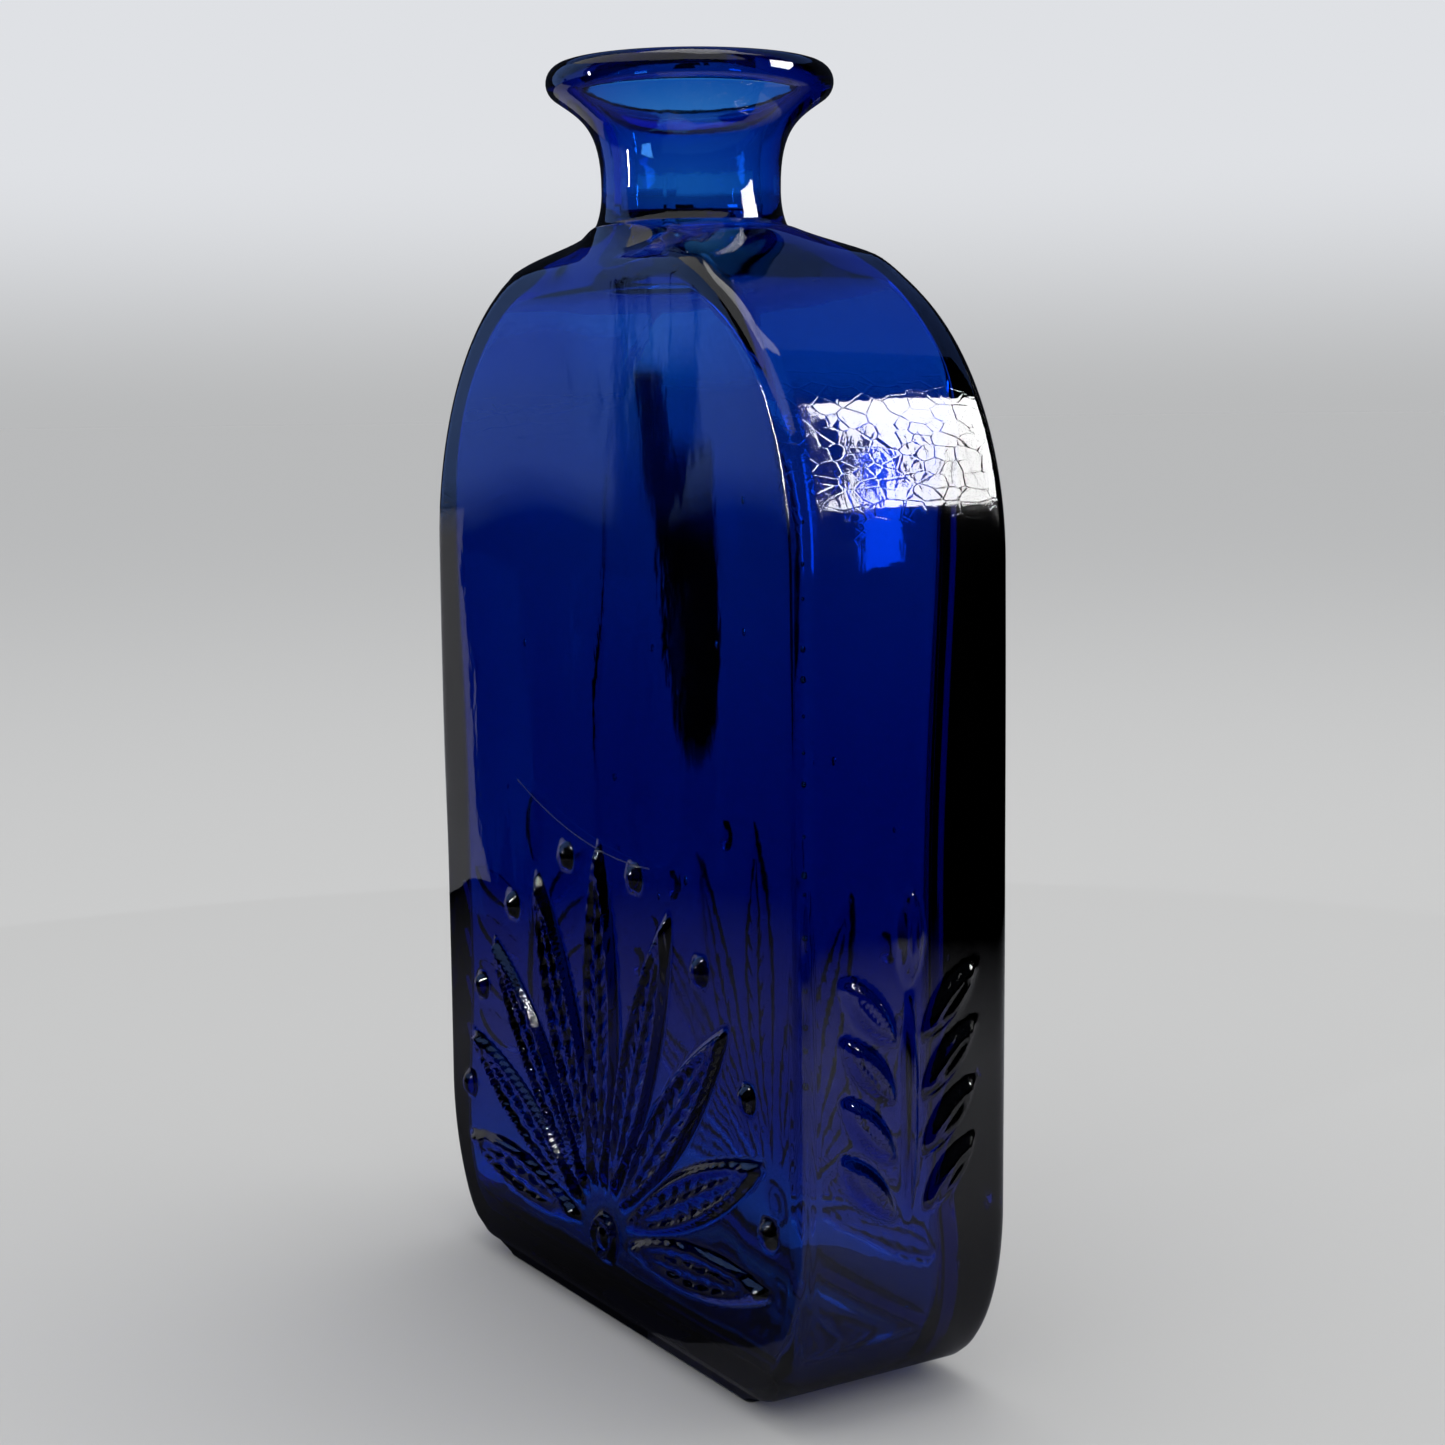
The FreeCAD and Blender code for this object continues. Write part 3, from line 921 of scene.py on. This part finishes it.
# Painted floor reflection: cards just over the floor that the glass sees in place of the pale floor, with a
# painted shadow dark next to the bottle, lighter further out and black at their edge.
floor_card_lift = 0.0005
flag("back_painted_floor_near", (0.01, floor_card_lift), (0.20, floor_card_lift), (100, 180), ("#2c2c32", "#66666c"), "mirrored")
flag("back_painted_floor_far", (0.20, floor_card_lift), (0.37, floor_card_lift), (100, 180), ("#66666c", "#050505"), "mirrored")
flag("front_painted_floor_near", (0.01, floor_card_lift), (0.20, floor_card_lift), (180, 300), ("#2c2c32", "#66666c"))
flag("front_painted_floor_far", (0.20, floor_card_lift), (0.37, floor_card_lift), (180, 300), ("#66666c", "#050505"))
flag("side_painted_floor_near", (0.01, floor_card_lift), (0.24, floor_card_lift), (-60, 100), ("#6a6a70", "#c4c4c8"))
flag("side_painted_floor_far", (0.24, floor_card_lift), (0.37, floor_card_lift), (-60, 100), ("#c4c4c8", "#050505"))
# Painted reflections round the bottle: black and dim cards paint dark surroundings into the glass, grey,
# cool and blue ones pale and bluish reflections.
flag("grey_ring", (0.37, 0.0), (0.37, 0.121), (130, 205.5), grey, "mirrored")
flag("black_ring", (0.37, 0.0), (0.37, 0.121), (205.5, 450), black)
flag("black_back", (0.37, 0.0), (0.37, 0.121), (90, 130), black, "mirrored")
flag("black_side", (0.37, 0.121), (0.37, 0.209), (30, 85), black)
flag("dim_back", (0.37, 0.121), (0.45, 0.50), (85, 192), dim, "mirrored")
flag("black_backing", (0.39, 0.10), (0.39, 0.21), (192, 240), black)
flag("cool_back", (0.36, 0.113), (0.44, 0.50), (192, 212.6), cool, fade=(0.05, 0.0, 0.0))
flag("cool_gap", (0.37, 0.156), (0.44, 0.50), (212.6, 215.4), cool, fade=(0.05, 0.0, 0.0))
flag("cool_front", (0.36, 0.113), (0.44, 0.50), (215.4, 240), cool, fade=(0.05, 0.0, 0.0))
flag("dim_front", (0.37, 0.121), (0.45, 0.50), (240, 390), dim)
flag("cool_top", (0.45, 0.44), (0.22, 0.80), (66, 200), ("#5f7fd0", "#5f7fd0"), "mirrored")
# Painted shade seen through the glass: black cards close behind the bottle, which put a dark band into it.
band_radius = 0.1415
flag("band_low", (band_radius, 0.064), (band_radius, 0.136), (143.8, 151.3), black, "through",
     rounding=0.045, fade=(0.06, 0.10, 0.12))
flag("band_high", (band_radius, 0.118), (band_radius, 0.157), (147.3, 152.6), black, "through",
     fade=(0.1, 0.10, 0.1))
# Painted shade round the window lamp: a black card below and a dim one above, in what the glass mirrors and
# shows.
flag("window_backing", (1.25, 0.20), (1.25, 1.70), (20, 88), black)
flag("window_cap", (1.25, 1.70), (0.50, 2.60), (20, 75), dim)
# Painted light: glowing cards, which are no lamps, paint a bright sky seen through the glass behind the
# neck.
flag("sky_high", (1.2, 0.245), (1.2, 0.38), (146, 162), sky, "through",
     fade=(0.3, 0.1, 0.25), card_material=painted_glow)
flag("sky_side", (1.2, 0.12), (1.2, 0.38), (126, 151.5), sky, "through",
     fade=(0.45, 0.1, 0.15), card_material=painted_glow)

# Camera: right of the front, a little above the shoulder, close enough for strong perspective.

azimuth = math.radians(58.87)
yaw = math.radians(0.602)
pitch = math.radians(7.29)
roll = math.radians(-0.589)
camera_distance = 0.3900
camera_height = 0.1469
photo_width = 1445
focal_pixels = 2447.7
camera_data = bpy.data.cameras.new("camera")
camera_data.sensor_width = 36.0
camera_data.lens = camera_data.sensor_width * focal_pixels / photo_width
camera_data.clip_start = 0.01
camera = bpy.data.objects.new("camera", camera_data)
bpy.context.scene.collection.objects.link(camera)
stand = np.array([math.sin(azimuth), -math.cos(azimuth), 0]) * camera_distance
stand[2] = camera_height
aim = azimuth - yaw
ahead = np.array([-math.sin(aim) * math.cos(pitch), math.cos(aim) * math.cos(pitch), -math.sin(pitch)])
level = np.array([math.cos(aim), math.sin(aim), 0])
upright = np.cross(level, ahead)
camera_right = level * math.cos(roll) + upright * math.sin(roll)
camera_up = upright * math.cos(roll) - level * math.sin(roll)
pose = np.eye(4)
pose[:3] = np.stack([camera_right, camera_up, -ahead, stand], axis=1)
camera.matrix_world = Matrix(pose.tolist())
bpy.context.scene.camera = camera
bpy.context.scene.view_settings.view_transform = "Standard"
bpy.context.scene.cycles.max_bounces = 24
bpy.context.scene.cycles.transmission_bounces = 24
